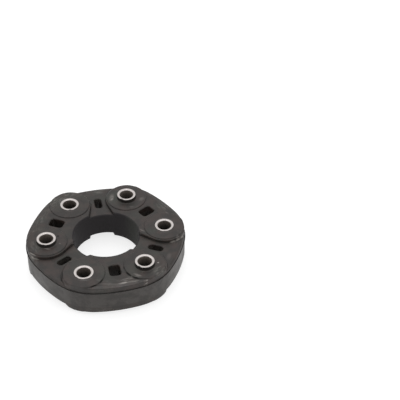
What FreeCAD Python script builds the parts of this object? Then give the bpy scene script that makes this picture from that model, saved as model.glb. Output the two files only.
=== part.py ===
import FreeCAD, Part
import math
import os

# Disc coupling for a propeller shaft: a rubber disc moulded round six steel sleeves and the cord packs
# that tie the sleeves together. Three thick links pull between sleeve pairs, and three thinner segments
# between them take the overrun. Every other sleeve stands proud of the upper side, the rest of the
# underside, so that a three-arm flange bolts to each side.
# Millimetres. The origin is on the disc's axis at its mid-plane, and +Z points up along the axis.

# Bolt circle
LINK_COUNT = 3
BOLT_CIRCLE_D = 105.0
FIRST_LINK_DEG = 60.0

# Steel sleeves
SLEEVE_BORE = 12.1
SLEEVE_WALL = 2.45
RAISED_STAND = 3.5
LOW_STAND = 0.5
SLEEVE_MOUTH_CHAMFER = 0.6
SLEEVE_EDGE_CHAMFER = 0.35

# Guide collars pressed on the sleeves, two on each: a hub that runs out into one flange
COLLAR_HUB_WALL = 2.0
COLLAR_FLANGE_WIDTH = 5.0
COLLAR_FLANGE_THICKNESS = 1.2

# Cord packs
SEGMENT_PACK_HEIGHT = 6.4
LINK_PACK_HEIGHT = 7.6
CORD_PACK_THICKNESS = 4.5
PACK_GAP = 1.2

# Rubber heights, up and down from the stack of collars and cords
EYE_SKIN = 1.3
EYE_RISE = 0.75
SEGMENT_DROP = 2.95
LIP_RISE = 0.35
LIP_WIDTH = 1.8

# Rubber plan: the walls outside the collars and cords, and the rim's six shallow sides
EYE_WALL = 2.5
LINK_END_WALL = 1.0
LINK_FOOT_DEG = 7.0
BORE_WALL = 1.55
RIM_WALL = 2.2
SIDE_SAG = 2.3
SIDE_ARC_R = 125.0

# Rim: the mould parts below the upper edge, where a thin fin of flash is left all round, and the rim
# above it sits a little inside the rim below
PARTING_BELOW_SEGMENT = 3.0
PARTING_STEP = 0.3
FLASH_WIDTH = 0.5
FLASH_THICKNESS = 0.5
SHOULDER_SLOPE_DEG = 12.0

# Slots through the links and the segments
LINK_SLOT_CENTRE_R = 47.0
LINK_SLOT_DEPTH = 12.8
LINK_SLOT_WIDTH = 9.8
SEGMENT_SLOT_CENTRE_R = 46.4
SEGMENT_SLOT_DEPTH = 13.0
SEGMENT_SLOT_WIDTH = 6.3
SLOT_CORNER_R = 2.6

# Broken and rounded edges of the rubber
SEGMENT_RIM_ROUNDING = 2.4
LINK_CHAMFER = 0.7
EYE_CHAMFER = 0.4
MOUTH_CHAMFER = 0.7

# Sizes that follow from those above
SIDES = 2 * LINK_COUNT
HALF_PITCH = 180.0 / SIDES
BOLT_R = BOLT_CIRCLE_D / 2
SLEEVE_BORE_R = SLEEVE_BORE / 2
SLEEVE_R = SLEEVE_BORE_R + SLEEVE_WALL
HUB_R = SLEEVE_R + COLLAR_HUB_WALL
FLANGE_R = HUB_R + COLLAR_FLANGE_WIDTH
EYE_R = FLANGE_R + EYE_WALL
LINK_END_R = EYE_R + LINK_END_WALL
RIM_R = BOLT_R + FLANGE_R + RIM_WALL
APOTHEM = BOLT_R * math.cos(math.radians(HALF_PITCH))
BORE_R = APOTHEM - HUB_R - CORD_PACK_THICKNESS - BORE_WALL

HUB_Z = SEGMENT_PACK_HEIGHT / 2
LINK_PACK_Z = HUB_Z + PACK_GAP
FLANGE_Z = LINK_PACK_Z + LINK_PACK_HEIGHT
COLLAR_TOP_Z = FLANGE_Z + COLLAR_FLANGE_THICKNESS
EYE_Z = COLLAR_TOP_Z + EYE_SKIN
LINK_Z = EYE_Z - EYE_RISE
SEGMENT_Z = LINK_Z - SEGMENT_DROP
LIP_Z = EYE_Z + LIP_RISE
PARTING_Z = SEGMENT_Z - PARTING_BELOW_SEGMENT

# Reach of a cutting tool past the solid that it cuts, and the tolerance for picking an edge by its height
OVERCUT = 5.0
NEAR = 0.01
UP = FreeCAD.Vector(0, 0, 1)


def polar(radius, degrees, z=0.0):
    """Point at a radius and an angle round the disc's axis."""
    angle = math.radians(degrees)
    return FreeCAD.Vector(radius * math.cos(angle), radius * math.sin(angle), z)


def turned(shape, degrees):
    """Copy of a shape, turned about the disc's axis."""
    copy = shape.copy()
    copy.rotate(FreeCAD.Vector(0, 0, 0), UP, degrees)
    return copy


def underside(shape):
    """The same shape on the other side of the mid-plane, turned over about the X axis."""
    copy = shape.copy()
    copy.rotate(FreeCAD.Vector(0, 0, 0), FreeCAD.Vector(1, 0, 0), 180)
    return copy


def line(start, end):
    return Part.LineSegment(start, end).toShape()


def arc(start, middle, end):
    return Part.Arc(start, middle, end).toShape()


def prism(wire, low, high):
    """Straight solid over a flat wire that is drawn at z = 0."""
    solid = Part.Face(wire).extrude(UP * (high - low))
    solid.translate(UP * low)
    return solid


def revolved(profile):
    """Solid of revolution about the Z axis from (radius, z) corners."""
    corners = [FreeCAD.Vector(radius, 0, z) for radius, z in profile]
    face = Part.Face(Part.makePolygon(corners + corners[:1]))
    return face.revolve(FreeCAD.Vector(0, 0, 0), UP, 360)


def edges_at(shape, z, inner=0.0, outer=math.inf):
    """Edges that lie flat at a height, with their middle between two radii from the axis."""
    found = []
    for edge in shape.Edges:
        box = edge.BoundBox
        if abs(box.ZMin - z) > NEAR or abs(box.ZMax - z) > NEAR:
            continue
        middle = edge.valueAt((edge.FirstParameter + edge.LastParameter) / 2)
        if inner <= math.hypot(middle.x, middle.y) <= outer:
            found.append(edge)
    return found


def link_angle(index):
    return FIRST_LINK_DEG + index * 360.0 / LINK_COUNT


def sleeve(top_stand, bottom_stand):
    """Turned tube with a lead-in at both mouths and a broken outer edge."""
    low = -EYE_Z - bottom_stand
    high = EYE_Z + top_stand
    mouth_r = SLEEVE_BORE_R + SLEEVE_MOUTH_CHAMFER
    edge_r = SLEEVE_R - SLEEVE_EDGE_CHAMFER
    profile = [
        (SLEEVE_BORE_R, low + SLEEVE_MOUTH_CHAMFER),
        (mouth_r, low),
        (edge_r, low),
        (SLEEVE_R, low + SLEEVE_EDGE_CHAMFER),
        (SLEEVE_R, high - SLEEVE_EDGE_CHAMFER),
        (edge_r, high),
        (mouth_r, high),
        (SLEEVE_BORE_R, high - SLEEVE_MOUTH_CHAMFER),
    ]
    return revolved(profile)


def upper_collar():
    """Flanged collar on the upper half of a sleeve: a link's cords run round the hub, under the flange."""
    profile = [
        (SLEEVE_R, HUB_Z),
        (HUB_R, HUB_Z),
        (HUB_R, FLANGE_Z),
        (FLANGE_R, FLANGE_Z),
        (FLANGE_R, COLLAR_TOP_Z),
        (SLEEVE_R, COLLAR_TOP_Z),
    ]
    return revolved(profile)


def loop_wire(radius):
    """Flat loop round two neighbouring sleeves: two half circles and the two straights that join them."""
    half_span = BOLT_R * math.sin(math.radians(HALF_PITCH))
    inner = APOTHEM - radius
    outer = APOTHEM + radius
    middle = FreeCAD.Vector(APOTHEM, half_span + radius, 0)
    return Part.Wire([
        line(FreeCAD.Vector(inner, -half_span, 0), FreeCAD.Vector(inner, half_span, 0)),
        arc(FreeCAD.Vector(inner, half_span, 0), middle, FreeCAD.Vector(outer, half_span, 0)),
        line(FreeCAD.Vector(outer, half_span, 0), FreeCAD.Vector(outer, -half_span, 0)),
        arc(FreeCAD.Vector(outer, -half_span, 0), FreeCAD.Vector(middle.x, -middle.y, 0),
            FreeCAD.Vector(inner, -half_span, 0)),
    ])


def cord_pack(core_r, low, high):
    """Endless pack of cord wound round two cores, across the X axis."""
    pack = prism(loop_wire(core_r + CORD_PACK_THICKNESS), low, high)
    return pack.cut(prism(loop_wire(core_r), low - OVERCUT, high + OVERCUT))


def rim_wire(inset):
    """Rim of the disc, moved in by an inset: six shallow arcs joined by tighter ones at the sleeves."""
    side_centre_r = SIDE_ARC_R - RIM_R + SIDE_SAG
    reach = SIDE_ARC_R - RIM_R
    cosine = math.cos(math.radians(HALF_PITCH))
    corner_centre_r = (side_centre_r ** 2 - reach ** 2) / (2 * (reach - side_centre_r * cosine))
    side_centre = polar(-side_centre_r, 0)
    towards_joint = polar(corner_centre_r, HALF_PITCH) - side_centre
    joint = side_centre + towards_joint.normalize() * (SIDE_ARC_R - inset)
    joint_r = math.hypot(joint.x, joint.y)
    joint_deg = math.degrees(math.atan2(joint.y, joint.x))
    edges = []
    for side in range(SIDES):
        middle = side * 2 * HALF_PITCH
        side_start = polar(joint_r, middle - joint_deg)
        side_end = polar(joint_r, middle + joint_deg)
        corner_end = polar(joint_r, middle + 2 * HALF_PITCH - joint_deg)
        edges.append(arc(side_start, polar(RIM_R - SIDE_SAG - inset, middle), side_end))
        edges.append(arc(side_end, polar(RIM_R - inset, middle + HALF_PITCH), corner_end))
    return Part.Wire(edges)


def blank(half_height):
    """Disc of the full plan outline and a given height, stepped in above the parting line."""
    lower = prism(rim_wire(0.0), -half_height, PARTING_Z)
    upper = prism(rim_wire(PARTING_STEP), PARTING_Z, half_height)
    return lower.fuse(upper).removeSplitter()


def flash_fin():
    """Thin fin of flash that stands out of the rim, with its top at the parting line."""
    fin = prism(rim_wire(-FLASH_WIDTH), PARTING_Z - FLASH_THICKNESS, PARTING_Z)
    return fin.cut(prism(rim_wire(FLASH_WIDTH), -EYE_Z, EYE_Z))


def bore_tool():
    return Part.makeCylinder(BORE_R, 2 * (EYE_Z + OVERCUT), FreeCAD.Vector(0, 0, -EYE_Z - OVERCUT))


def slot_tool(centre_r, depth, width):
    """Through slot across the X axis with rounded corners."""
    height = 2 * (EYE_Z + OVERCUT)
    corner = FreeCAD.Vector(centre_r - depth / 2, -width / 2, -height / 2)
    box = Part.makeBox(depth, width, height, corner)
    upright = [edge for edge in box.Edges if edge.BoundBox.ZLength > height / 2]
    return box.makeFillet(SLOT_CORNER_R, upright)


def link_slot_tool():
    return slot_tool(LINK_SLOT_CENTRE_R, LINK_SLOT_DEPTH, LINK_SLOT_WIDTH)


def segment_slot_tool():
    return slot_tool(SEGMENT_SLOT_CENTRE_R, SEGMENT_SLOT_DEPTH, SEGMENT_SLOT_WIDTH)


def link_end_edges(sign):
    """One end of a link's plan, from inside the bore out past the rim: a straight foot that runs
    tangentially into an arc round the sleeve. The sign picks the end above or below the X axis."""
    centre = polar(BOLT_R, HALF_PITCH)
    foot = polar(BORE_R, HALF_PITCH + LINK_FOOT_DEG)
    back = foot - centre
    touch_deg = math.degrees(math.atan2(back.y, back.x) - math.acos(LINK_END_R / back.Length))
    touch = centre + polar(LINK_END_R, touch_deg)
    outer_deg = HALF_PITCH - 360.0
    bend = centre + polar(LINK_END_R, (touch_deg + outer_deg) / 2)
    outer = centre + polar(LINK_END_R, outer_deg)
    start = foot + (foot - touch).normalize() * OVERCUT
    far = polar(RIM_R + LINK_END_R, HALF_PITCH)
    points = [FreeCAD.Vector(p.x, sign * p.y, 0) for p in (start, touch, bend, outer, far)]
    start, touch, bend, outer, far = points
    return start, far, [line(start, touch), arc(touch, bend, outer), line(outer, far)]


def link_plan():
    """Plan of one thick link with its two sleeves, about the X axis, reaching past bore and rim."""
    start_up, far_up, edges_up = link_end_edges(1)
    start_down, far_down, edges_down = link_end_edges(-1)
    rim_side = arc(far_up, polar(RIM_R + LINK_END_R, 0), far_down)
    return Part.Wire(edges_up + [rim_side] + edges_down[::-1] + [line(start_down, start_up)])


def shoulder_tool():
    """Wedge that slopes a link's upper face down to the rim, outside the line that joins its eyes."""
    crease = APOTHEM + EYE_R
    far = RIM_R + OVERCUT
    drop = (far - crease) * math.tan(math.radians(SHOULDER_SLOPE_DEG))
    top = LINK_Z + OVERCUT
    corners = [(crease, LINK_Z), (far, LINK_Z - drop), (far, top), (crease, top)]
    points = [FreeCAD.Vector(x, -RIM_R, z) for x, z in corners]
    face = Part.Face(Part.makePolygon(points + points[:1]))
    return face.extrude(FreeCAD.Vector(0, 2 * RIM_R, 0))


def thick_link():
    """One thick link about the X axis, with its slot and its sloped shoulder."""
    plan = prism(link_plan(), -LINK_Z - OVERCUT, LINK_Z + OVERCUT)
    link = blank(LINK_Z).common(plan).cut([bore_tool(), link_slot_tool()])
    link = link.makeChamfer(LINK_CHAMFER, edges_at(link, LINK_Z))
    within_rim = RIM_R - SIDE_SAG - OVERCUT
    link = link.makeChamfer(MOUTH_CHAMFER, edges_at(link, -LINK_Z, outer=within_rim))
    return link.cut(shoulder_tool())


def ring_of_segments():
    """The whole disc at the thin segments' height, with bore, slots and a well rounded upper rim."""
    tools = [bore_tool()]
    for index in range(LINK_COUNT):
        tools.append(turned(link_slot_tool(), 4 * index * HALF_PITCH))
        tools.append(turned(segment_slot_tool(), (4 * index + 2) * HALF_PITCH))
    ring = blank(SEGMENT_Z).cut(tools)
    within_rim = RIM_R - SIDE_SAG - OVERCUT
    ring = ring.makeFillet(SEGMENT_RIM_ROUNDING, edges_at(ring, SEGMENT_Z, inner=within_rim))
    mouths = edges_at(ring, SEGMENT_Z, outer=within_rim) + edges_at(ring, -SEGMENT_Z, outer=within_rim)
    return ring.makeChamfer(MOUTH_CHAMFER, mouths)


def eye():
    """Raised round eye over the collars of the sleeve on the X axis, with a sloped lip round its ends,
    cut off where it would stand out of the rim."""
    lip_r = SLEEVE_R + LIP_WIDTH
    upper = [
        (EYE_R, EYE_Z - EYE_CHAMFER),
        (EYE_R - EYE_CHAMFER, EYE_Z),
        (lip_r, EYE_Z),
        (SLEEVE_R, LIP_Z),
        (0, LIP_Z),
    ]
    lower = [(radius, -z) for radius, z in reversed(upper)]
    whole = revolved(upper + lower)
    whole.translate(polar(BOLT_R, 0))
    return whole.common(turned(prism(rim_wire(PARTING_STEP), -LIP_Z, LIP_Z), HALF_PITCH))


def rubber_body(inserts):
    """The moulded disc: the ring, its links and eyes as one solid, open where the inserts are."""
    pieces = []
    holes = []
    for index in range(LINK_COUNT):
        pieces.append(turned(thick_link(), 4 * index * HALF_PITCH))
    for index in range(SIDES):
        angle = (2 * index + 1) * HALF_PITCH
        pieces.append(turned(eye(), angle))
        start = polar(BOLT_R, angle, -LIP_Z - OVERCUT)
        holes.append(Part.makeCylinder(SLEEVE_R, 2 * (LIP_Z + OVERCUT), start))
    solid = ring_of_segments().fuse(pieces + [flash_fin()]).removeSplitter()
    solid = turned(solid, FIRST_LINK_DEG)
    holes = [turned(hole, FIRST_LINK_DEG) for hole in holes]
    return solid.cut(holes + inserts)


def at_sleeve(shape, angle):
    """A turned part that stands on the origin, moved to a sleeve's place on the bolt circle."""
    moved = shape.copy()
    moved.translate(polar(BOLT_R, angle))
    return moved


def build():
    """All parts in their places, by name."""
    parts = {}
    collar = upper_collar()
    link_pack = cord_pack(HUB_R, LINK_PACK_Z, FLANGE_Z)
    segment_pack = cord_pack(SLEEVE_R, -HUB_Z, HUB_Z)
    inserts = {}
    for index in range(LINK_COUNT):
        number = index + 1
        middle = link_angle(index)
        ends = {
            "raised": (middle + HALF_PITCH, sleeve(RAISED_STAND, LOW_STAND)),
            "low": (middle - HALF_PITCH, sleeve(LOW_STAND, RAISED_STAND)),
        }
        for end, (angle, tube) in ends.items():
            parts[f"sleeve_{end}_{number}"] = at_sleeve(tube, angle)
            inserts[f"collar_upper_{end}_{number}"] = at_sleeve(collar, angle)
            inserts[f"collar_lower_{end}_{number}"] = at_sleeve(underside(collar), angle)
        inserts[f"link_cords_upper_{number}"] = turned(link_pack, middle)
        inserts[f"link_cords_lower_{number}"] = turned(underside(link_pack), middle)
        inserts[f"segment_cords_{number}"] = turned(segment_pack, middle + 2 * HALF_PITCH)
    parts.update(inserts)
    parts["rubber_body"] = rubber_body(list(inserts.values()))
    return parts


os.makedirs("parts", exist_ok=True)
for name, shape in build().items():
    shape.exportStep(f"parts/{name}.step")
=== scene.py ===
import math

import bmesh
import bpy
from mathutils import Euler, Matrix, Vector


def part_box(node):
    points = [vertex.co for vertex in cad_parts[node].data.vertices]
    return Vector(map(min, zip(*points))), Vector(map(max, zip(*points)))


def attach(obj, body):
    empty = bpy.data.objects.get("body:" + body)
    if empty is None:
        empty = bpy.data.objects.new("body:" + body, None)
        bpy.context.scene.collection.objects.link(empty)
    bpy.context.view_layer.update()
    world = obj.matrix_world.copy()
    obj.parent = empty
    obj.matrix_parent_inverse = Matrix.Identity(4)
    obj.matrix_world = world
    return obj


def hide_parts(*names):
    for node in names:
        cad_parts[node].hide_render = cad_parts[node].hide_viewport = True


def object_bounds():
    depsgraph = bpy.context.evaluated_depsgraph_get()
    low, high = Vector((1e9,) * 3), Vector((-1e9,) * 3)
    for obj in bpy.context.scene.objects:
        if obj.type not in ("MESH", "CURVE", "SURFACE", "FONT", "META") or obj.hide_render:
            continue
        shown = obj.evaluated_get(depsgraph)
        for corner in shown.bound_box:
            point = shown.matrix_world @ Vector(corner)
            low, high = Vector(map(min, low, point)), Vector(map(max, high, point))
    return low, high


bl_info = {
    "name": "Disc coupling",
    "version": (1, 0, 0),
    "blender": (4, 5, 0),
    "location": "3D View > Sidebar > Coupling",
    "description": "Finishes a rubber disc coupling and sets it in a small white studio",
    "category": "Object",
}

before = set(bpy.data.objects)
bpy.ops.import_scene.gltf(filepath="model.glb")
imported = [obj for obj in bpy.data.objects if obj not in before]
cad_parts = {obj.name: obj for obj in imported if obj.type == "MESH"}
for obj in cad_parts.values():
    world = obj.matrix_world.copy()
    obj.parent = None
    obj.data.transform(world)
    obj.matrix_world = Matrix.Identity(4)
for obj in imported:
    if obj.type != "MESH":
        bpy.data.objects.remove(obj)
CAD_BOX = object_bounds()

# What the frame holds
RUBBER = "rubber_body"
SLEEVES = sorted(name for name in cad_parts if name.startswith("sleeve_"))
COLLARS = sorted(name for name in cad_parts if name.startswith("collar_"))
CORD_PACKS = sorted(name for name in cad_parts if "_cords_" in name)
BODY = "root"
MM = 0.001
SLEEVE_R = (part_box(SLEEVES[0])[1].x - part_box(SLEEVES[0])[0].x) / 2
SLEEVE_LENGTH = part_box(SLEEVES[0])[1].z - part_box(SLEEVES[0])[0].z

# Name of the point attribute that holds how far a point of a sleeve lies from the sleeve's own axis
REACH = "reach"
# How many flats make up the round of a sleeve
SIDES = 96
# How near two places count as one when edges and faces are picked
TOUCH = 0.05 * MM
# Upright part of a face's normal: at least this on a sleeve's end, and less than this on its walls
END_UPRIGHT = 0.9
WALL_UPRIGHT = 0.2
# Width of the picture in pixels
PICTURE = 400
# Lamps: name, place and size in metres, and the studio's property that holds the power
LAMPS = (
    ("lamp_above", (-0.11, 0.3, 1.15), 0.45, "key"),
    ("lamp_left", (-0.95, -0.25, 0.8), 0.7, "fill"),
    ("lamp_right", (0.95, -0.35, 0.7), 0.7, "fill"),
)

# Between which values of its noise each pattern goes from nothing to full. The broad span takes in nearly all
# of a noise, where a finish varies between two values.
BLOOM_SPAN = {"From Min": 0.4, "From Max": 0.64}
PATCH_SPAN = {"From Min": 0.47, "From Max": 0.72}
FLECK_SPAN = {"From Min": 0.42, "From Max": 0.66}
RUBBED_SHEEN_SPAN = {"From Min": 0.3, "From Max": 0.6}
SHADE_LINE_SPAN = {"From Min": 0.35, "From Max": 0.5}
LIT_RIM_SPAN = {"From Min": 0.38, "From Max": 0.62}
BROAD_SPAN = {"From Min": 0.3, "From Max": 0.7}
# Share of open sky at which the painted shade starts in an inner corner, and at which it is full
CREASE_SHADE_SPAN = {"From Min": 0.85, "From Max": 0.5}
# Upright part of the normal at which the painted shade on a sleeve's outer wall and edge starts, and at which
# it is full
EDGE_SHADE_SPAN = {"From Min": 0.95, "From Max": 0.75}
# How much smoother and how much rougher than its own roughness a finish gets in places
SMOOTHER = 0.08
ROUGHER = 0.12
# Makes a ramp start and end gently
SMOOTH = {"interpolation_type": "SMOOTHSTEP"}


def linear(hex_colour):
    """Linear colour of an sRGB hex value such as #3a3b3c."""
    parts = [int(hex_colour[i:i + 2], 16) / 255 for i in (1, 3, 5)]
    return tuple(c / 12.92 if c <= 0.04045 else ((c + 0.055) / 1.055) ** 2.4 for c in parts)


def opaque(colour):
    """A colour with the alpha that a shader's socket wants."""
    return (*colour, 1.0)


def add_node(tree, kind, inputs=None, **settings):
    """Add a node, set its settings, and give each input a value or link it to a node or a socket."""
    node = tree.nodes.new(kind)
    for name, value in settings.items():
        setattr(node, name, value)
    for name, value in (inputs or {}).items():
        socket = node.inputs[name]
        if isinstance(name, str):
            socket = next(s for s in node.inputs if s.name == name and s.enabled)
        if isinstance(value, bpy.types.Node):
            value = next(s for s in value.outputs if s.enabled)
        if isinstance(value, bpy.types.NodeSocket):
            tree.links.new(value, socket)
        else:
            socket.default_value = value
    return node


def new_material(name):
    """An empty node material and its tree."""
    material = bpy.data.materials.new(name)
    material.use_nodes = True
    material.node_tree.nodes.clear()
    return material, material.node_tree


# Marks, one row each: x and y of its middle, half its length and half its width in mm, its turn in degrees,
# and its strength. They lie at TOP_LEVEL, unless their table says where.

# Rubbed places on the top, painted lighter: rubbed wear and painted highlight
RUBBED_SHEEN = (
    (-12.8, 48.0, 3.2, 7.0, 8, 1.1),
    (14.0, 54.5, 3.0, 5.0, -20, 0.75),
    (42.2, 43.7, 3.6, 1.8, -40, 0.45),
    (28.9, 14.3, 4.0, 1.1, -15, 0.8),
    (60.8, -7.6, 3.2, 7.0, 10, 0.35),
    (44.5, -41.1, 5.3, 1.8, -9, 1.1),
    (-41.1, -34.9, 5.0, 1.3, -3, 0.8),
    (9.1, 41.0, 3.5, 1.3, 25, 0.5),
    (39.5, -50.5, 14.0, 1.3, 32, 0.8),
    (38.0, -46.5, 7.0, 1.2, 34, 0.35),
    (24.0, -58.3, 14.0, 1.2, 17, 0.4),
)
# Scuffed places on the top, which are covered in pale flecks: scuffs and painted highlight
SCUFF_HIGHLIGHTS = (
    (38.5, -47.5, 9.0, 2.4, 34, 0.55),
    (39.5, -50.5, 12.0, 1.6, 32, 0.7),
    (52.4, -44.6, 2.8, 1.6, 44, 1.5),
    (56.0, -21.3, 1.5, 1.2, 0, 1.6),
    (-33.4, -25.2, 1.3, 1.0, 0, 1.4),
    (61.5, 17.7, 4.5, 1.8, 70, 0.3),
    (-9.0, 55.5, 4.0, 1.2, 60, 0.5),
    (-12.0, 46.5, 2.2, 5.0, 10, 0.7),
)
# Dark lines on the top, mostly along the edges of the eyes: painted shade, with a groove in the bump
SHADE_LINES = (
    (-16.4, -60.0, 8.0, 0.9, -65, 1.0),
    (30.5, -36.7, 4.0, 0.8, -55, 1.0),
    (36.3, -42.1, 5.0, 1.1, -30, 1.4),
    (44.8, -44.5, 6.0, 1.1, -2, 1.3),
    (17.7, -57.2, 5.5, 0.9, 75, 1.0),
    (13.6, -64.7, 5.0, 0.9, 48, 1.2),
    (-38.5, -17.0, 2.6, 1.1, -70, 1.0),
)
# Painted shade that bites into the outer edge of a sleeve's upper end, at RING_LEVEL
EDGE_SHADE_MARKS = (
    (-1.5, 44.0, 3.0, 1.6, -10, 1.3),
    (-41.7, 18.5, 2.2, 1.7, 26, 1.3),
    (-3.4, -60.4, 1.7, 1.1, -23, 1.0),
    (4.6, -59.8, 3.0, 1.0, 32, 1.0),
    (43.2, -34.6, 2.2, 1.5, -15, 1.2),
)
# Painted light on one half of the centre bore's wall, at BORE_LEVEL
BORE_LIGHT_MARK = (
    (18.6, 22.1, 17.0, 9.0, 140, 0.6),
)
# Pale lines of painted highlight along the lip of a step wall, at LIP_LEVEL, and along its foot, at
# FOOT_LEVEL
LIP_HIGHLIGHTS = (
    (-51.2, -43.9, 6.0, 0.9, -18, 0.45),
)
FOOT_HIGHLIGHTS = (
    (-55.5, -43.1, 4.5, 1.2, -32, 0.6),
    (-51.5, -44.9, 5.0, 1.2, -18, 0.7),
    (-47.2, -45.8, 4.5, 1.2, -5, 0.4),
    (58.4, 11.9, 4.5, 1.2, 42, 0.45),
    (61.7, 15.7, 4.5, 1.2, 57, 0.55),
    (63.9, 20.3, 4.5, 1.2, 72, 0.55),
)
# Levels: the height of the marks' middles above the mid-plane, and how far up and down they reach
TOP_LEVEL = (12.5 * MM, 7 * MM)
LIP_LEVEL = (13.5 * MM, 0.8 * MM)
FOOT_LEVEL = (11.0 * MM, 1.2 * MM)
RING_LEVEL = (16.5 * MM, 6 * MM)
BORE_LEVEL = (0.0, 40 * MM)


def spread(tree, place, marks, level=TOP_LEVEL):
    """One mask for the oval marks of a table at its level. Each fades out from its middle to its edge."""
    height, depth = level
    total = None
    for x, y, length, width, turn, strength in marks:
        local = add_node(
            tree, "ShaderNodeMapping",
            {"Vector": place, "Location": (x * MM, y * MM, height), "Rotation": (0, 0, math.radians(turn)),
             "Scale": (length * MM, width * MM, depth)},
            vector_type="TEXTURE",
        )
        reach = add_node(tree, "ShaderNodeVectorMath", {0: local}, operation="LENGTH")
        mark = add_node(
            tree, "ShaderNodeMapRange",
            {"Value": reach, "From Min": 1.0, "From Max": 0.2, "To Max": strength}, **SMOOTH,
        )
        total = add_node(tree, "ShaderNodeMath", {0: mark, 1: total}, operation="MAXIMUM") if total else mark
    return total


def moulded_rubber(look):
    """Carbon-black filled natural rubber, pressed in a steel mould and given a wipe of release agent: nearly
    black, satin, brown where wax has bloomed, greyer where it was handled, with scuffs and painted highlight
    on the shoulders that run round the disc, painted highlights on rubbed places and along the step walls,
    painted light on the rim's middle band and on one half of the bore, painted shade in inner corners, along
    the eye edges and in the bore, and a dull skin where the mould's centre piece was drawn out of the bore."""
    material, tree = new_material("moulded_rubber")
    place = add_node(tree, "ShaderNodeTexCoord").outputs["Object"]
    plan = add_node(tree, "ShaderNodeVectorMath", {0: place, 1: (1.0, 1.0, 0.0)}, operation="MULTIPLY")
    radius = add_node(tree, "ShaderNodeVectorMath", {0: plan}, operation="LENGTH").outputs["Value"]
    height = add_node(tree, "ShaderNodeSeparateXYZ", {"Vector": place}).outputs["Z"]

    # Soft clouds of bloom and handling
    lumps = add_node(
        tree, "ShaderNodeTexNoise", {"Vector": place, "Scale": 1 / look.bloom_size, "Detail": 5.0}
    )
    bloom = add_node(tree, "ShaderNodeMapRange", {"Value": lumps, **BLOOM_SPAN}, **SMOOTH)
    clouds = add_node(
        tree, "ShaderNodeTexNoise",
        {"Vector": place, "W": look.seed, "Scale": 1 / look.patch_size, "Detail": 4.0}, noise_dimensions="4D",
    )
    patch = add_node(tree, "ShaderNodeMapRange", {"Value": clouds, **PATCH_SPAN, "To Max": 0.7}, **SMOOTH)

    # Scuffs and painted highlight: noise drawn out round the disc, in flecks, on the shoulders and on the
    # listed scuff places
    around = add_node(tree, "ShaderNodeVectorMath", {0: plan}, operation="NORMALIZE")
    around = add_node(
        tree, "ShaderNodeVectorMath",
        {0: around, "Scale": look.shoulder / look.streak_length}, operation="SCALE",
    )
    across = add_node(tree, "ShaderNodeMath", {0: radius, 1: height}, operation="ADD")
    across = add_node(tree, "ShaderNodeMath", {0: across, 1: 1 / look.streak_size}, operation="MULTIPLY")
    across = add_node(tree, "ShaderNodeCombineXYZ", {"Z": across})
    drawn = add_node(tree, "ShaderNodeVectorMath", {0: around, 1: across}, operation="ADD")
    flecks = add_node(
        tree, "ShaderNodeTexNoise", {"Vector": drawn, "Scale": 1.0, "Detail": 4.0, "Roughness": 0.65}
    )
    flecks = add_node(tree, "ShaderNodeMapRange", {"Value": flecks, **FLECK_SPAN}, **SMOOTH)
    # Painted highlight in a band round the shoulders, above the parting line
    shoulder = add_node(
        tree, "ShaderNodeMapRange",
        {"Value": radius, "From Min": look.shoulder - 4 * MM, "From Max": look.shoulder + 3 * MM,
         "To Max": 0.45},
        **SMOOTH,
    )
    level = add_node(tree, "ShaderNodeMath", {0: height}, operation="ABSOLUTE")
    above = add_node(
        tree, "ShaderNodeMapRange",
        {"Value": level, "From Min": look.parting, "From Max": look.parting + 1.5 * MM},
    )
    shoulder = add_node(tree, "ShaderNodeMath", {0: shoulder, 1: patch}, operation="MULTIPLY")
    shoulder = add_node(tree, "ShaderNodeMath", {0: shoulder, 1: above}, operation="MULTIPLY")
    scuffs_and_highlight = add_node(
        tree, "ShaderNodeMath", {0: shoulder, 1: spread(tree, place, SCUFF_HIGHLIGHTS)}, operation="MAXIMUM"
    )
    scuffs_and_highlight = add_node(tree, "ShaderNodeMath", {0: scuffs_and_highlight, 1: flecks}, operation="MULTIPLY", use_clamp=True)

    # Rubbed places with painted highlight, and lines of painted shade, made uneven by the lumps
    rubbed_sheen = add_node(tree, "ShaderNodeMapRange", {"Value": lumps, **RUBBED_SHEEN_SPAN, "To Min": 0.4})
    rubbed_sheen = add_node(
        tree, "ShaderNodeMath", {0: rubbed_sheen, 1: spread(tree, place, RUBBED_SHEEN)}, operation="MULTIPLY"
    )
    lines_and_corner_shade = add_node(tree, "ShaderNodeMapRange", {"Value": lumps, **SHADE_LINE_SPAN, "To Min": 0.3})
    lines_and_corner_shade = add_node(
        tree, "ShaderNodeMath", {0: lines_and_corner_shade, 1: spread(tree, place, SHADE_LINES)}, operation="MULTIPLY"
    )

    # Painted shade in the inner corners, where less sky is open, as dark as the painted shade lines, and
    # painted highlights along the step walls
    open_sky = add_node(
        tree, "ShaderNodeAmbientOcclusion", {"Distance": look.crease_shade}, samples=8, only_local=False
    ).outputs["AO"]
    crease_shade = add_node(tree, "ShaderNodeMapRange", {"Value": open_sky, **CREASE_SHADE_SPAN}, **SMOOTH)
    lines_and_corner_shade = add_node(tree, "ShaderNodeMath", {0: lines_and_corner_shade, 1: crease_shade}, operation="MAXIMUM")
    step_highlight = add_node(
        tree, "ShaderNodeMath",
        {0: spread(tree, place, LIP_HIGHLIGHTS, LIP_LEVEL), 1: spread(tree, place, FOOT_HIGHLIGHTS, FOOT_LEVEL)},
        operation="MAXIMUM",
    )

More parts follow.
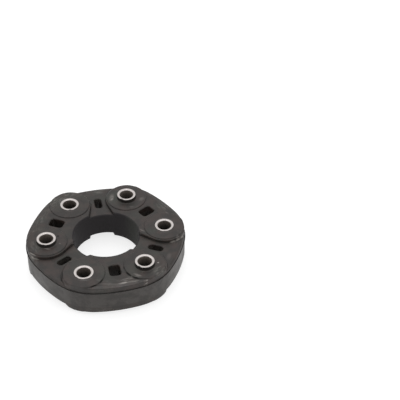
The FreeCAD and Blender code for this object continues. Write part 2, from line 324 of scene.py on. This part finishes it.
    # The dull skin of the centre bore with painted shade on it and painted light on one half of it, and
    # painted light on the rim below the parting line
    bore_skin_and_shade = add_node(
        tree, "ShaderNodeMapRange",
        {"Value": radius, "From Min": look.bore + 1.6 * MM, "From Max": look.bore + 0.4 * MM}, **SMOOTH,
    )
    bore_light = spread(tree, place, BORE_LIGHT_MARK, BORE_LEVEL)
    bore_light = add_node(tree, "ShaderNodeMath", {0: bore_light, 1: bore_skin_and_shade}, operation="MULTIPLY")
    lit_rim = add_node(tree, "ShaderNodeMapRange", {"Value": lumps, **LIT_RIM_SPAN, "To Min": 0.25}, **SMOOTH)
    below = add_node(tree, "ShaderNodeMath", {0: 1.0, 1: above}, operation="SUBTRACT")
    lit_rim = add_node(tree, "ShaderNodeMath", {0: lit_rim, 1: below}, operation="MULTIPLY")

    tone = opaque(look.colour)
    for amount, colour in (
        (bloom, look.bloom_colour),
        (patch, look.handled_and_lit_colour),
        (lit_rim, look.lit_rim_colour),
        (rubbed_sheen, look.rubbed_sheen_colour),
        (scuffs_and_highlight, look.scuff_highlight_colour),
        (lines_and_corner_shade, look.line_shade_colour),
        (step_highlight, look.scuff_highlight_colour),
        (bore_skin_and_shade, look.bore_shade_colour),
        (bore_light, look.handled_and_lit_colour),
    ):
        tone = add_node(
            tree, "ShaderNodeMix", {"Factor": amount, "A": tone, "B": opaque(colour)}, data_type="RGBA"
        )
    roughness = add_node(
        tree, "ShaderNodeMapRange",
        {"Value": clouds, **BROAD_SPAN, "To Min": look.roughness - SMOOTHER,
         "To Max": look.roughness + ROUGHER},
    )
    roughness = add_node(tree, "ShaderNodeMix", {"Factor": bore_skin_and_shade, "A": roughness, "B": look.core_roughness})
    roughness = add_node(
        tree, "ShaderNodeMix", {"Factor": lines_and_corner_shade, "A": roughness, "B": look.line_shade_roughness}
    )

    # Rounded corners first, then relief on them: each pattern's strength and height
    grain = add_node(
        tree, "ShaderNodeTexNoise", {"Vector": place, "Scale": 1 / look.grain_size, "Roughness": 0.6}
    )
    waves = add_node(
        tree, "ShaderNodeTexNoise", {"Vector": place, "Scale": 1 / look.wave_size, "Detail": 3.0}
    )
    bump = add_node(tree, "ShaderNodeBevel", {"Radius": look.corner}, samples=4)
    for relief, strength, distance in (
        (grain, 0.35, 0.05 * MM),
        (scuffs_and_highlight, 0.5, 0.2 * MM),
        (waves, 0.6, look.wave_height),
        (lines_and_corner_shade, 0.8, -0.4 * MM),
    ):
        bump = add_node(
            tree, "ShaderNodeBump",
            {"Height": relief, "Strength": strength, "Distance": distance, "Normal": bump},
        )
    shader = add_node(
        tree, "ShaderNodeBsdfPrincipled",
        {"Base Color": tone, "Roughness": roughness, "IOR": 1.52, "Specular IOR Level": look.shine,
         "Normal": bump},
    )
    add_node(tree, "ShaderNodeOutputMaterial", {"Surface": shader})
    return material


def zinc_plate(look):
    """Low-carbon steel tube, turned at the ends and bright zinc plated: pale, slightly warm metal with
    turning rings, and a haze that blurs what it reflects. The rings are drawn coarse enough to show.
    Outside, the wall and the outer edge are painted dark, a painted shade that stands in for the black rubber
    they reflect, ragged along the edge and deeper in a few marked places."""
    material, tree = new_material("zinc_plated_steel")
    place = add_node(tree, "ShaderNodeTexCoord").outputs["Object"]
    haze = add_node(tree, "ShaderNodeTexNoise", {"Vector": place, "Scale": 1 / look.haze_size, "Detail": 3.0})
    reach = add_node(tree, "ShaderNodeAttribute", attribute_name=REACH).outputs["Fac"]
    rings = add_node(
        tree, "ShaderNodeTexNoise",
        {"W": reach, "Scale": 1 / look.ring_pitch, "Detail": 3.0}, noise_dimensions="1D",
    )
    ragged = add_node(
        tree, "ShaderNodeTexNoise", {"Vector": place, "Scale": 1 / look.ragged_shade_size, "Detail": 4.0}
    )
    ragged = add_node(
        tree, "ShaderNodeMapRange",
        {"Value": ragged, **BROAD_SPAN, "To Min": -look.ragged_shade_depth, "To Max": look.ragged_shade_depth},
    )
    # Painted shade along the ragged outer edge and in the marked places
    ragged_shade = add_node(tree, "ShaderNodeMath", {0: reach, 1: ragged}, operation="ADD")
    ragged_shade = add_node(
        tree, "ShaderNodeMapRange",
        {"Value": ragged_shade, "From Min": look.radius - look.ragged_shade_reach, "From Max": look.radius},
    )
    marked_edge_shade = spread(tree, place, EDGE_SHADE_MARKS, RING_LEVEL)
    ragged_shade = add_node(tree, "ShaderNodeMath", {0: ragged_shade, 1: marked_edge_shade}, operation="MAXIMUM")
    # Painted shade on the outer wall and its broken edge
    normal = add_node(tree, "ShaderNodeNewGeometry").outputs["Normal"]
    upright = add_node(tree, "ShaderNodeSeparateXYZ", {"Vector": normal}).outputs["Z"]
    upright = add_node(tree, "ShaderNodeMath", {0: upright}, operation="ABSOLUTE")
    wall = add_node(tree, "ShaderNodeMapRange", {"Value": upright, **EDGE_SHADE_SPAN})
    outer = add_node(
        tree, "ShaderNodeMath", {0: reach, 1: look.radius - look.wall / 2}, operation="GREATER_THAN"
    )
    wall = add_node(tree, "ShaderNodeMath", {0: wall, 1: outer}, operation="MULTIPLY")
    edge_shade = add_node(tree, "ShaderNodeMath", {0: wall, 1: ragged_shade}, operation="MAXIMUM")
    tone = add_node(
        tree, "ShaderNodeMix", {"Factor": haze, "A": opaque(look.colour), "B": opaque(look.haze_colour)},
        data_type="RGBA",
    )
    tone = add_node(
        tree, "ShaderNodeMix", {"Factor": edge_shade, "A": tone, "B": opaque(look.edge_shade_colour)}, data_type="RGBA"
    )
    unshaded = add_node(tree, "ShaderNodeMath", {0: 1.0, 1: edge_shade}, operation="SUBTRACT")
    roughness = add_node(
        tree, "ShaderNodeMapRange",
        {"Value": haze, **BROAD_SPAN, "To Min": look.roughness - SMOOTHER,
         "To Max": look.roughness + ROUGHER},
    )
    bump = add_node(tree, "ShaderNodeBump", {"Height": rings, "Strength": 0.4, "Distance": 0.03 * MM})
    bump = add_node(
        tree, "ShaderNodeBump", {"Height": haze, "Strength": 0.4, "Distance": 0.12 * MM, "Normal": bump}
    )
    shader = add_node(
        tree, "ShaderNodeBsdfPrincipled",
        {"Base Color": tone, "Metallic": unshaded, "Roughness": roughness, "Normal": bump},
    )
    add_node(tree, "ShaderNodeOutputMaterial", {"Surface": shader})
    return material


def shaded_bore(look):
    """Bare drawn steel inside the sleeve, where plating hardly reaches: dull and grey-brown, with long
    drawing marks, and painted shade that darkens it deeper in the bore."""
    material, tree = new_material("oiled_drawn_steel")
    place = add_node(tree, "ShaderNodeTexCoord").outputs["Object"]
    along = add_node(tree, "ShaderNodeVectorMath", {0: place, 1: (1.0, 1.0, 0.1)}, operation="MULTIPLY")
    marks = add_node(
        tree, "ShaderNodeTexNoise", {"Vector": along, "Scale": 1 / look.mark_width, "Detail": 3.0}
    )
    tone = add_node(
        tree, "ShaderNodeMix",
        {"Factor": marks, "A": opaque(look.bore_colour), "B": opaque(look.mark_colour)},
        data_type="RGBA",
    )
    height = add_node(tree, "ShaderNodeSeparateXYZ", {"Vector": place}).outputs["Z"]
    height = add_node(tree, "ShaderNodeMath", {0: height}, operation="ABSOLUTE")
    # Painted shade: darker deeper in the bore, towards the mid-plane
    depth = add_node(
        tree, "ShaderNodeMapRange",
        {"Value": height, "From Min": look.shade_start_height, "From Max": look.full_shade_height},
    )
    tone = add_node(
        tree, "ShaderNodeMix", {"Factor": depth, "A": tone, "B": opaque(look.deep_shade_colour)}, data_type="RGBA"
    )
    bump = add_node(tree, "ShaderNodeBump", {"Height": marks, "Strength": 0.4, "Distance": 0.05 * MM})
    shader = add_node(
        tree, "ShaderNodeBsdfPrincipled",
        {"Base Color": tone, "Metallic": 0.35, "Roughness": 0.6, "Normal": bump},
    )
    add_node(tree, "ShaderNodeOutputMaterial", {"Surface": shader})
    return material


def collar_nylon(look):
    """Glass-filled nylon, injection moulded: matt grey-brown, mottled by short glass fibres at the skin."""
    material, tree = new_material("glass_filled_nylon")
    place = add_node(tree, "ShaderNodeTexCoord").outputs["Object"]
    fibres = add_node(
        tree, "ShaderNodeTexNoise",
        {"Vector": place, "Scale": 1 / look.fibre_length, "Detail": 5.0, "Roughness": 0.7},
    )
    tone = add_node(
        tree, "ShaderNodeMix",
        {"Factor": fibres, "A": opaque(look.nylon_colour), "B": opaque(look.fibre_colour)},
        data_type="RGBA",
    )
    bump = add_node(tree, "ShaderNodeBump", {"Height": fibres, "Strength": 0.3, "Distance": 0.04 * MM})
    shader = add_node(
        tree, "ShaderNodeBsdfPrincipled", {"Base Color": tone, "Roughness": 0.6, "IOR": 1.53, "Normal": bump}
    )
    add_node(tree, "ShaderNodeOutputMaterial", {"Surface": shader})
    return material


def wound_cord(look):
    """Polyester cord wound in flat layers round two sleeves: pale, matt, with one turn above another."""
    material, tree = new_material("wound_polyester_cord")
    place = add_node(tree, "ShaderNodeTexCoord").outputs["Object"]
    height = add_node(tree, "ShaderNodeSeparateXYZ", {"Vector": place}).outputs["Z"]
    turn = add_node(tree, "ShaderNodeMath", {0: height, 1: math.pi / look.cord_width}, operation="MULTIPLY")
    turn = add_node(tree, "ShaderNodeMath", {0: turn}, operation="SINE")
    turn = add_node(tree, "ShaderNodeMath", {0: turn}, operation="ABSOLUTE")
    tone = add_node(
        tree, "ShaderNodeMix", {"Factor": turn, "A": opaque(look.gap_colour), "B": opaque(look.cord_colour)},
        data_type="RGBA",
    )
    bump = add_node(tree, "ShaderNodeBump", {"Height": turn, "Strength": 0.8, "Distance": 0.3 * MM})
    shader = add_node(
        tree, "ShaderNodeBsdfPrincipled",
        {"Base Color": tone, "Roughness": 0.8, "Sheen Weight": 0.3, "Normal": bump},
    )
    add_node(tree, "ShaderNodeOutputMaterial", {"Surface": shader})
    return material


def dress(names, material):
    """Give CAD nodes a material."""
    for name in names:
        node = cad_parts[name]
        node.data.materials.clear()
        node.data.materials.append(material)


class RubberLook(bpy.types.PropertyGroup):
    colour: bpy.props.FloatVectorProperty(
        name="Rubber", description="Colour of clean moulded rubber", subtype="COLOR",
        default=linear("#221d1a"),
    )
    bloom_colour: bpy.props.FloatVectorProperty(
        name="Bloom", description="Colour where wax has come out of the rubber", subtype="COLOR",
        default=linear("#322824"),
    )
    # Also the colour of the painted light on one half of the centre bore's wall
    handled_and_lit_colour: bpy.props.FloatVectorProperty(
        name="Handled", description="Colour of dull, handled patches", subtype="COLOR",
        default=linear("#33352f"),
    )
    # Lighter colour of the rim below the parting line: painted light
    lit_rim_colour: bpy.props.FloatVectorProperty(
        name="Side", description="Colour of the cleaner rim below the parting line", subtype="COLOR",
        default=linear("#403c39"),
    )
    # Colour of the worn, lighter places: painted highlight as well as wear
    rubbed_sheen_colour: bpy.props.FloatVectorProperty(
        name="Rubbed", description="Colour of rubbed places", subtype="COLOR", default=linear("#67625e")
    )
    # Colour of the pale scuffs, and of the painted highlights on the shoulders and along the step walls
    scuff_highlight_colour: bpy.props.FloatVectorProperty(
        name="Scuffs", description="Colour of the pale scuffs", subtype="COLOR", default=linear("#aea8a2")
    )
    # Colour of the painted shade in the dark lines and in inner corners
    line_shade_colour: bpy.props.FloatVectorProperty(
        name="Scores", description="Colour down in a score", subtype="COLOR", default=linear("#0c0a09")
    )
    # Darker colour of the centre bore: painted shade
    bore_shade_colour: bpy.props.FloatVectorProperty(
        name="Bore skin", description="Colour of the dull skin in the centre bore", subtype="COLOR",
        default=linear("#1d191b"),
    )
    roughness: bpy.props.FloatProperty(
        name="Roughness", description="How matt the moulded skin is", subtype="FACTOR", default=0.42,
        min=0.1, max=0.9,
    )
    core_roughness: bpy.props.FloatProperty(
        name="Bore roughness", description="How matt the centre bore is", subtype="FACTOR", default=0.75,
        min=0.1, max=1.0,
    )
    # How matt the painted shade lines and inner corners are
    line_shade_roughness: bpy.props.FloatProperty(
        name="Score roughness", description="How matt scores and grimy corners are", subtype="FACTOR",
        default=0.95, min=0.1, max=1.0,
    )
    shine: bpy.props.FloatProperty(
        name="Shine", description="Share of its full gloss that the fine mould texture leaves",
        subtype="FACTOR", default=0.41, min=0.0, max=1.0,
    )
    bloom_size: bpy.props.FloatProperty(
        name="Bloom size", description="Width of a patch of bloom", unit="LENGTH", default=8 * MM
    )
    patch_size: bpy.props.FloatProperty(
        name="Patch size", description="Width of a dull patch", unit="LENGTH", default=18 * MM
    )
    seed: bpy.props.FloatProperty(name="Cloud seed", description="Moves the dull patches about", default=5.0)
    # The streaks are scuffs and painted highlight
    streak_size: bpy.props.FloatProperty(
        name="Scuff width", description="Width of a scuff, drawn coarse enough to show", unit="LENGTH",
        default=1.3 * MM,
    )
    streak_length: bpy.props.FloatProperty(
        name="Scuff length", description="Length of a scuff round the disc", unit="LENGTH", default=6 * MM
    )
    # Distance from the axis at which the painted highlight on the shoulders starts
    shoulder: bpy.props.FloatProperty(
        name="Shoulder", description="Distance from the axis at which the shoulders start to wear",
        unit="LENGTH", default=60 * MM,
    )
    bore: bpy.props.FloatProperty(
        name="Bore", description="Radius of the centre bore", unit="LENGTH", default=28.9 * MM
    )
    parting: bpy.props.FloatProperty(
        name="Parting", description="Distance of the mould's parting line from the mid-plane", unit="LENGTH",
        default=7.8 * MM,
    )
    grain_size: bpy.props.FloatProperty(
        name="Grain", description="Width of the mould's blasted grain, drawn coarse enough to show",
        unit="LENGTH", default=0.9 * MM,
    )
    wave_size: bpy.props.FloatProperty(
        name="Waves", description="Width of the low waves where the rubber shrank", unit="LENGTH",
        default=11 * MM,
    )
    wave_height: bpy.props.FloatProperty(
        name="Wave height", description="Height of the low waves", unit="LENGTH", default=0.4 * MM
    )
    corner: bpy.props.FloatProperty(
        name="Corner", description="Rounding of the mould's corners", unit="LENGTH", default=0.7 * MM
    )
    # How far from an inner corner the painted shade reaches
    crease_shade: bpy.props.FloatProperty(
        name="Crease", description="How far from an inner corner old oil and dust lie", unit="LENGTH",
        default=2 * MM,
    )


class SleeveLook(bpy.types.PropertyGroup):
    wall: bpy.props.FloatProperty(
        name="Wall", description="Thickness of the sleeve's wall", unit="LENGTH", default=2.45 * MM
    )
    mouth: bpy.props.FloatProperty(
        name="Mouth", description="Size of the chamfer at the bore's mouth", unit="LENGTH", default=0.8 * MM
    )
    edge: bpy.props.FloatProperty(
        name="Edge", description="Size of the broken outer edge", unit="LENGTH", default=0.35 * MM
    )
    radius: bpy.props.FloatProperty(
        name="Radius", description="Outer radius of the sleeve", unit="LENGTH", default=SLEEVE_R
    )
    colour: bpy.props.FloatVectorProperty(
        name="Zinc", description="Colour of the bright zinc", subtype="COLOR", default=linear("#cec8c5")
    )
    haze_colour: bpy.props.FloatVectorProperty(
        name="Haze", description="Colour of hazy zinc", subtype="COLOR", default=linear("#b4aeab")
    )
    bore_colour: bpy.props.FloatVectorProperty(
        name="Bore", description="Colour of the bore's drawn steel", subtype="COLOR",
        default=linear("#5e564f"),
    )
    mark_colour: bpy.props.FloatVectorProperty(
        name="Drawing marks", description="Colour of the drawing marks in the bore", subtype="COLOR",
        default=linear("#7d746c"),
    )
    mark_width: bpy.props.FloatProperty(
        name="Mark width", description="Width of a drawing mark, drawn coarse enough to show", unit="LENGTH",
        default=1.2 * MM,
    )
    # Colour of the painted shade deep in the bore
    deep_shade_colour: bpy.props.FloatVectorProperty(
        name="Oil", description="Colour of the old oil deep in the bore", subtype="COLOR",
        default=linear("#171311"),
    )
    # Distance from the mid-plane where the painted shade in the bore starts
    shade_start_height: bpy.props.FloatProperty(
        name="Clean height", description="Distance from the mid-plane where the bore is still clean",
        unit="LENGTH", default=16 * MM,
    )
    # Distance from the mid-plane where the painted shade in the bore is full
    full_shade_height: bpy.props.FloatProperty(
        name="Oil height", description="Distance from the mid-plane where old oil covers the bore",
        unit="LENGTH", default=3 * MM,
    )
    # Dark colour painted on a sleeve's outer wall and edge: painted shade for the black rubber it reflects
    edge_shade_colour: bpy.props.FloatVectorProperty(
        name="Film", description="Colour of the rubber film on the outside", subtype="COLOR",
        default=linear("#1c1917"),
    )
    # How far in from the outside the ragged painted shade reaches
    ragged_shade_reach: bpy.props.FloatProperty(
        name="Film edge", description="How far in from the outside the film reaches", unit="LENGTH",
        default=0.2 * MM,
    )
    # Length and depth of the ragged painted shade along the edge
    ragged_shade_size: bpy.props.FloatProperty(
        name="Nick size", description="Length of a grimy nick along an edge", unit="LENGTH", default=2.5 * MM
    )
    ragged_shade_depth: bpy.props.FloatProperty(
        name="Nick depth", description="How far in a grimy nick reaches", unit="LENGTH", default=0.35 * MM
    )
    roughness: bpy.props.FloatProperty(
        name="Roughness", description="Blur of the plating", subtype="FACTOR", default=0.4, min=0.05, max=0.9
    )
    haze_size: bpy.props.FloatProperty(
        name="Haze size", description="Width of a patch of haze", unit="LENGTH", default=3 * MM
    )
    ring_pitch: bpy.props.FloatProperty(
        name="Turning rings", description="Spacing of the turning rings", unit="LENGTH", default=0.3 * MM
    )


class InnerLook(bpy.types.PropertyGroup):
    nylon_colour: bpy.props.FloatVectorProperty(
        name="Nylon", description="Colour of the collars' nylon", subtype="COLOR", default=linear("#5a5550")
    )
    fibre_colour: bpy.props.FloatVectorProperty(
        name="Fibres", description="Colour where glass fibres lie at the skin", subtype="COLOR",
        default=linear("#76706a"),
    )
    fibre_length: bpy.props.FloatProperty(
        name="Fibre length", description="Size of the mottle that the fibres make", unit="LENGTH",
        default=0.8 * MM,
    )
    cord_colour: bpy.props.FloatVectorProperty(
        name="Cord", description="Colour of the polyester cord", subtype="COLOR", default=linear("#d8d0bd")
    )
    gap_colour: bpy.props.FloatVectorProperty(
        name="Cord gaps", description="Colour between two turns of cord", subtype="COLOR",
        default=linear("#8d8574"),
    )
    cord_width: bpy.props.FloatProperty(
        name="Cord width", description="Height of one turn of cord", unit="LENGTH", default=0.9 * MM
    )


class Studio(bpy.types.PropertyGroup):
    focal_length: bpy.props.FloatProperty(
        name="Lens", description="Focal length in mm", default=92.09, min=20.0
    )
    camera_place: bpy.props.FloatVectorProperty(
        name="Camera", description="Where the camera stands", subtype="TRANSLATION", unit="LENGTH",
        default=(0.26391, -0.62447, 0.61763),
    )
    tilt: bpy.props.FloatProperty(
        name="Tilt", description="How far the camera looks down", subtype="ANGLE", default=math.radians(39.90)
    )
    heading: bpy.props.FloatProperty(
        name="Heading", description="Turn of the view about the vertical", subtype="ANGLE",
        default=math.radians(15.91),
    )
    roll: bpy.props.FloatProperty(
        name="Roll", description="Turn of the camera about its own axis", subtype="ANGLE",
        default=math.radians(1.53),
    )
    floor_size: bpy.props.FloatProperty(
        name="Floor size", description="Width of the floor", unit="LENGTH", default=6.0, min=1.0
    )
    floor_gap: bpy.props.FloatProperty(
        name="Floor gap", description="Space that keeps the sleeves' ends off the floor", unit="LENGTH",
        default=0.02 * MM,
    )
    floor_colour: bpy.props.FloatVectorProperty(
        name="Floor", description="Colour of the floor", subtype="COLOR", default=(0.4, 0.4, 0.4)
    )
    floor_glow: bpy.props.FloatProperty(
        name="Floor glow", description="White that the floor adds for the camera, over its own shade",
        subtype="FACTOR", default=0.75, min=0.0, max=1.0,
    )
    sky: bpy.props.FloatProperty(
        name="Sky", description="Strength of the even light from all round", default=0.75, min=0.0
    )
    key: bpy.props.FloatProperty(
        name="Key", description="Power of the lamp above", unit="POWER", default=2.2, min=0.0
    )
    fill: bpy.props.FloatProperty(
        name="Fill", description="Power of each lamp at the sides", unit="POWER", default=1.5, min=0.0
    )


def pick(piece, kind, test):
    """In edit mode, select just the edges or faces that pass a test."""
    bpy.ops.mesh.select_mode(type=kind)
    bpy.ops.mesh.select_all(action="DESELECT")
    mesh = bmesh.from_edit_mesh(piece.data)
    for item in {"EDGE": mesh.edges, "FACE": mesh.faces}[kind]:
        item.select = test(item)
    mesh.select_flush_mode()
    bmesh.update_edit_mesh(piece.data)


class COUPLING_OT_rubber(bpy.types.Operator):
    """Finish the moulded rubber disc"""
    bl_idname = "coupling.rubber"
    bl_label = "Rubber disc"

    def execute(self, context):
        dress([RUBBER], moulded_rubber(context.scene.coupling_rubber))
        return {"FINISHED"}


def model_sleeve(look):
    """A turned steel tube about the origin, to be copied: a cylinder with its ends inset and bridged, and its
    four edges broken. Its bore has a material of its own."""
    bore = look.radius - look.wall
    bpy.ops.object.select_all(action="DESELECT")
    bpy.ops.mesh.primitive_cylinder_add(vertices=SIDES, radius=look.radius, depth=SLEEVE_LENGTH)
    model = bpy.context.object
    bpy.ops.object.mode_set(mode="EDIT")

    def ring_edge(edge, reach):
        a, b = (v.co for v in edge.verts)
        level = abs(a.z) > SLEEVE_LENGTH / 2 - TOUCH and abs(a.z - b.z) < TOUCH
        return level and all(abs(co.xy.length - reach) < TOUCH for co in (a, b))

    pick(model, "FACE", lambda face: abs(face.normal.z) > END_UPRIGHT)
    bpy.ops.mesh.inset(thickness=look.wall)
    bpy.ops.mesh.bridge_edge_loops()
    for reach, chamfer in ((bore, look.mouth), (look.radius, look.edge)):
        pick(model, "EDGE", lambda edge: ring_edge(edge, reach))
        bpy.ops.mesh.bevel(offset=chamfer, segments=2, profile=0.5, affect="EDGES")
    bpy.ops.object.mode_set(mode="OBJECT")

    distances = model.data.attributes.new(REACH, "FLOAT", "POINT")
    distances.data.foreach_set("value", [v.co.xy.length for v in model.data.vertices])
    bpy.ops.object.shade_smooth_by_angle(angle=math.radians(60))
    bpy.ops.object.modifier_add(type="WEIGHTED_NORMAL")
    model.modifiers[-1].keep_sharp = True
    bpy.ops.object.modifier_apply(modifier=model.modifiers[-1].name)
    model.data.materials.append(zinc_plate(look))
    model.data.materials.append(shaded_bore(look))
    for face in model.data.polygons:
        if abs(face.normal.z) < WALL_UPRIGHT and face.center.xy.length < bore + TOUCH:
            face.material_index = 1
    return model


def place_sleeve(model, name):
    """A copy of the modelled sleeve, with its own mesh, where the CAD has the sleeve of that name."""
    low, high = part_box(name)
    bpy.ops.object.select_all(action="DESELECT")
    model.select_set(True)
    bpy.context.view_layer.objects.active = model
    bpy.ops.object.duplicate()
    piece = bpy.context.object
    piece.name = piece.data.name = name.replace("sleeve", "steel_sleeve")
    piece.location = (low + high) / 2
    bpy.ops.object.transform_apply(location=True, rotation=True, scale=True)
    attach(piece, BODY)
    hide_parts(name)


class COUPLING_OT_sleeves(bpy.types.Operator):
    """Make the six steel sleeves"""
    bl_idname = "coupling.sleeves"
    bl_label = "Steel sleeves"

    def execute(self, context):
        model = model_sleeve(context.scene.coupling_sleeves)
        for name in SLEEVES:
            place_sleeve(model, name)
        bpy.data.meshes.remove(model.data)
        return {"FINISHED"}


class COUPLING_OT_inner_pieces(bpy.types.Operator):
    """Finish the collars and cord packs that lie inside the rubber"""
    bl_idname = "coupling.inner_pieces"
    bl_label = "Collars and cords"

    def execute(self, context):
        look = context.scene.coupling_inner
        dress(COLLARS, collar_nylon(look))
        dress(CORD_PACKS, wound_cord(look))
        return {"FINISHED"}


def seen_directly(tree):
    """A mask that is 1 for what the camera, mirrors and glass see, and 0 for the light on things."""
    rays = add_node(tree, "ShaderNodeLightPath").outputs
    seen = add_node(
        tree, "ShaderNodeMath", {0: rays["Is Camera Ray"], 1: rays["Is Glossy Ray"]}, operation="MAXIMUM"
    )
    return add_node(tree, "ShaderNodeMath", {0: seen, 1: rays["Is Transmission Ray"]}, operation="MAXIMUM")


def add_lamp(name, place, size, power):
    """Square soft box that faces the disc."""
    bpy.ops.object.light_add(type="AREA", location=place)
    lamp = bpy.context.object
    lamp.name = name
    lamp.data.size = size
    lamp.data.energy = power
    lamp.rotation_euler = (-Vector(place)).to_track_quat("-Z", "Y").to_euler()


class COUPLING_OT_studio(bpy.types.Operator):
    """Lay the white floor, hang the lamps and set up the camera"""
    bl_idname = "coupling.studio"
    bl_label = "Studio"

    def execute(self, context):
        studio = context.scene.coupling_studio
        bottom = CAD_BOX[0][2] - studio.floor_gap
        bpy.ops.mesh.primitive_plane_add(size=studio.floor_size, location=(0.0, 0.0, bottom))
        floor = context.object
        floor.name = "floor"
        material, tree = new_material("floor_white")
        seen = seen_directly(tree)
        lift = add_node(tree, "ShaderNodeMath", {0: seen, 1: studio.floor_glow}, operation="MULTIPLY")
        paint = add_node(tree, "ShaderNodeBsdfDiffuse", {"Color": opaque(studio.floor_colour)})
        glow = add_node(tree, "ShaderNodeEmission", {"Strength": lift})
        both = add_node(tree, "ShaderNodeAddShader", {0: paint, 1: glow})
        add_node(tree, "ShaderNodeOutputMaterial", {"Surface": both})
        floor.data.materials.append(material)

        world = bpy.data.worlds.new("white_studio")
        world.use_nodes = True
        tree = world.node_tree
        tree.nodes.clear()
        strength = add_node(
            tree, "ShaderNodeMapRange", {"Value": seen_directly(tree), "To Min": studio.sky, "To Max": 1.0}
        )
        light = add_node(tree, "ShaderNodeBackground", {"Color": (1, 1, 1, 1), "Strength": strength})
        add_node(tree, "ShaderNodeOutputWorld", {"Surface": light})
        context.scene.world = world

        for name, place, size, power in LAMPS:
            add_lamp(name, place, size, getattr(studio, power))

        bpy.ops.object.camera_add(location=studio.camera_place)
        camera = context.object
        camera.name = "camera"
        heading = Euler((0, 0, studio.heading)).to_matrix()
        tilt = Euler((math.pi / 2 - studio.tilt, 0, 0)).to_matrix()
        roll = Euler((0, 0, studio.roll)).to_matrix()
        camera.rotation_euler = (heading @ tilt @ roll).to_euler()
        camera.data.sensor_width = 36.0
        camera.data.lens = studio.focal_length
        camera.data.clip_start = 0.01
        # Half a pixel, because the camera was fitted to the middles of pixels
        camera.data.shift_x = -0.5 / PICTURE
        camera.data.shift_y = 0.5 / PICTURE
        context.scene.camera = camera
        context.scene.view_settings.view_transform = "Standard"
        return {"FINISHED"}


class COUPLING_PT_panel(bpy.types.Panel):
    """A button for each group of pieces and for the studio"""
    bl_label = "Disc coupling"
    bl_space_type = "VIEW_3D"
    bl_region_type = "UI"
    bl_category = "Coupling"

    def draw(self, context):
        for operator in OPERATORS:
            self.layout.operator(operator.bl_idname)


GROUPS = {
    "coupling_rubber": RubberLook,
    "coupling_sleeves": SleeveLook,
    "coupling_inner": InnerLook,
    "coupling_studio": Studio,
}
OPERATORS = (COUPLING_OT_rubber, COUPLING_OT_sleeves, COUPLING_OT_inner_pieces, COUPLING_OT_studio)


def register():
    for name, group in GROUPS.items():
        bpy.utils.register_class(group)
        setattr(bpy.types.Scene, name, bpy.props.PointerProperty(type=group))
    for operator in OPERATORS:
        bpy.utils.register_class(operator)
    bpy.utils.register_class(COUPLING_PT_panel)


def unregister():
    bpy.utils.unregister_class(COUPLING_PT_panel)
    for operator in reversed(OPERATORS):
        bpy.utils.unregister_class(operator)
    for name, group in GROUPS.items():
        delattr(bpy.types.Scene, name)
        bpy.utils.unregister_class(group)


def main():
    register()
    bpy.ops.coupling.rubber()
    bpy.ops.coupling.sleeves()
    bpy.ops.coupling.inner_pieces()
    bpy.ops.coupling.studio()
    bpy.context.view_layer.update()


if __name__ == "__main__":
    main()
